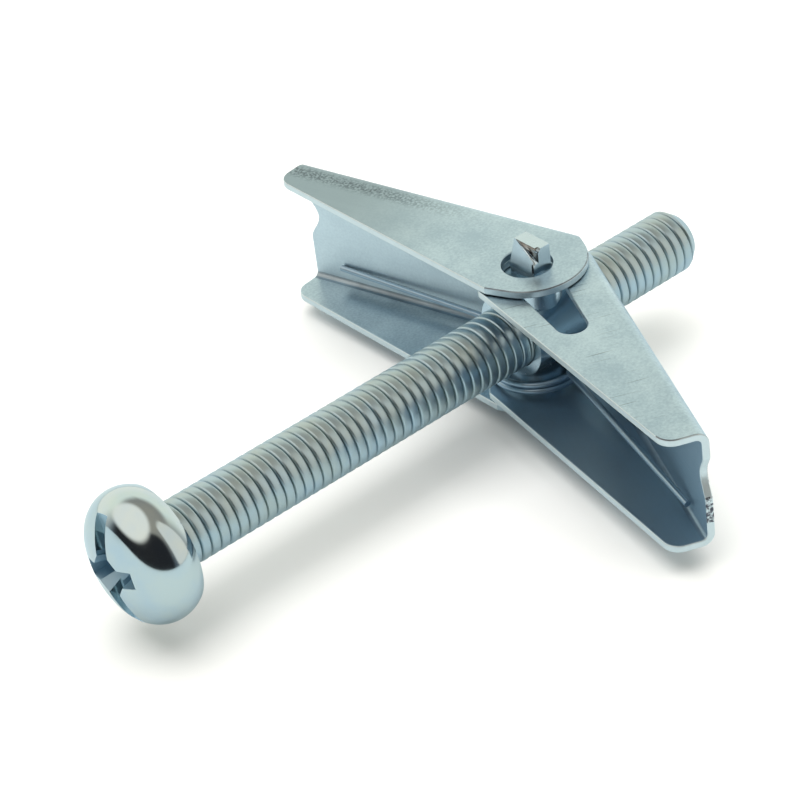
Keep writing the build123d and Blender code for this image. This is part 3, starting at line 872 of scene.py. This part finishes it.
# floor: the metal mirrors a cooler table than the eye sees
stage = {"floor": "#f7f7f6", "floorInMetal": "#c6d3d8", "floorHalf": 3.0, "rough": 0.9}
half = stage["floorHalf"]
corners = [(-half, -half, 0), (half, -half, 0), (half, half, 0), (-half, half, 0)]
floor = newPiece("floor", corners, [(0, 1, 2, 3)])
paper = bpy.data.materials.new("matt white paper")
paper.use_nodes = True
ray = addNode(paper.node_tree, "ShaderNodeLightPath").outputs["Is Glossy Ray"]
tones = {"Factor": ray, "A": linear(stage["floor"]), "B": linear(stage["floorInMetal"])}
tone = addNode(paper.node_tree, "ShaderNodeMix", tones, data_type="RGBA")
surface = {"Base Color": tone, "Roughness": stage["rough"], "Specular IOR Level": 0.0}
connect(paper.node_tree, paper.node_tree.nodes["Principled BSDF"], surface)
floor.data.materials.append(paper)

# the lamp lights the table; the metal mirrors the room instead
lamp = {"at": (0.02, 0.05, 0.75), "size": 0.9, "watts": 6.3}
light = bpy.data.lights.new("overhead", "AREA")
light.size = lamp["size"]
light.energy = lamp["watts"]
lightPiece = bpy.data.objects.new("overhead", light)
scene.collection.objects.link(lightPiece)
lightPiece.location = lamp["at"]
lightPiece.visible_glossy = False

# room: grey walls, a pale sweep ahead, soft boxes and a round light, as the polished head mirrors them
roomTones = {
    "low": "#556069", "high": "#9c968b", "sweepLow": "#eceee6", "sweepHigh": "#e9ede0", "strength": 1.25,
}
softBoxes = {  # middle and half size in degrees, round from the screw's axis and up
    "camera side": {"colour": "#26272a", "round": -152, "up": 22, "halfRound": 66, "halfUp": 38},
    "right window": {"colour": "#dedcd4", "round": -54, "up": 30, "halfRound": 24, "halfUp": 36},
}
softDish = {"colour": "#f0ede5", "round": 154, "up": 58, "inner": 31, "outer": 42}  # above on the left
softly = {"interpolation_type": "SMOOTHSTEP"}
world = bpy.data.worlds.new("room")
scene.world = world
world.use_nodes = True
room = world.node_tree
direction = addNode(room, "ShaderNodeTexCoord").outputs["Generated"]
way = addNode(room, "ShaderNodeSeparateXYZ", {"Vector": direction}).outputs
climb = addNode(room, "ShaderNodeMapRange", {"Value": way["Z"], "From Min": 0.22, "From Max": 0.5}, **softly)
tones = {"Factor": climb, "A": linear(roomTones["sweepLow"]), "B": linear(roomTones["sweepHigh"])}
sweep = addNode(room, "ShaderNodeMix", tones, data_type="RGBA")
level = Vector((forward.x, forward.y, 0)).normalized()
ahead = addNode(room, "ShaderNodeVectorMath", {0: direction, 1: level}, operation="DOT_PRODUCT")
facing = addNode(room, "ShaderNodeMapRange", {"Value": ahead, "From Min": -0.1, "From Max": 0.55}, **softly)
lower = addNode(room, "ShaderNodeMapRange", {"Value": way["Z"], "From Min": 0.8, "From Max": 0.6}, **softly)
sweepPart = addNode(room, "ShaderNodeMath", {0: facing, 1: lower}, operation="MULTIPLY")
tones = {"Factor": way["Z"], "A": linear(roomTones["low"]), "B": linear(roomTones["high"])}
walls = addNode(room, "ShaderNodeMix", tones, data_type="RGBA")
seen = addNode(room, "ShaderNodeMix", {"Factor": sweepPart, "A": walls, "B": sweep}, data_type="RGBA")
upward = addNode(room, "ShaderNodeMath", {0: way["Z"]}, operation="ARCSINE")
for box in softBoxes.values():
    turnCos, turnSin = cos(radians(box["round"])), sin(radians(box["round"]))
    part = addNode(room, "ShaderNodeMath", {0: way["Y"], 1: turnSin}, operation="MULTIPLY")
    onward = addNode(room, "ShaderNodeMath", {0: way["X"], 1: turnCos, 2: part}, operation="MULTIPLY_ADD")
    part = addNode(room, "ShaderNodeMath", {0: way["X"], 1: -turnSin}, operation="MULTIPLY")
    aside = addNode(room, "ShaderNodeMath", {0: way["Y"], 1: turnCos, 2: part}, operation="MULTIPLY_ADD")
    offRound = addNode(room, "ShaderNodeMath", {0: aside, 1: onward}, operation="ARCTAN2")
    offUp = addNode(room, "ShaderNodeMath", {0: upward, 1: radians(box["up"])}, operation="SUBTRACT")
    powers = []  # fourth powers give a box with soft corners
    for offset, halfSize in ((offRound, box["halfRound"]), (offUp, box["halfUp"])):
        share = addNode(room, "ShaderNodeMath", {0: offset, 1: radians(halfSize)}, operation="DIVIDE")
        apart = addNode(room, "ShaderNodeMath", {0: share}, operation="ABSOLUTE")
        powers.append(addNode(room, "ShaderNodeMath", {0: apart, 1: 4.0}, operation="POWER"))
    outside = addNode(room, "ShaderNodeMath", {0: powers[0], 1: powers[1]}, operation="ADD")
    rim = {"Value": outside, "From Min": 1.5, "From Max": 0.6}
    boxPart = addNode(room, "ShaderNodeMapRange", rim, **softly)
    tones = {"Factor": boxPart, "A": seen, "B": linear(box["colour"])}
    seen = addNode(room, "ShaderNodeMix", tones, data_type="RGBA")
dishTurn, dishTilt = radians(softDish["round"]), radians(softDish["up"])
dishWay = Vector((cos(dishTilt) * cos(dishTurn), cos(dishTilt) * sin(dishTurn), sin(dishTilt)))
toDish = addNode(room, "ShaderNodeVectorMath", {0: direction, 1: dishWay}, operation="DOT_PRODUCT")
innerCos, outerCos = cos(radians(softDish["inner"])), cos(radians(softDish["outer"]))
rim = {"Value": toDish, "From Min": outerCos, "From Max": innerCos}
dishPart = addNode(room, "ShaderNodeMapRange", rim, **softly)
tones = {"Factor": dishPart, "A": seen, "B": linear(softDish["colour"])}
seen = addNode(room, "ShaderNodeMix", tones, data_type="RGBA")
connect(room, room.nodes["Background"], {"Color": seen, "Strength": roomTones["strength"]})
print("toggle bolt: camera, light and room ready")
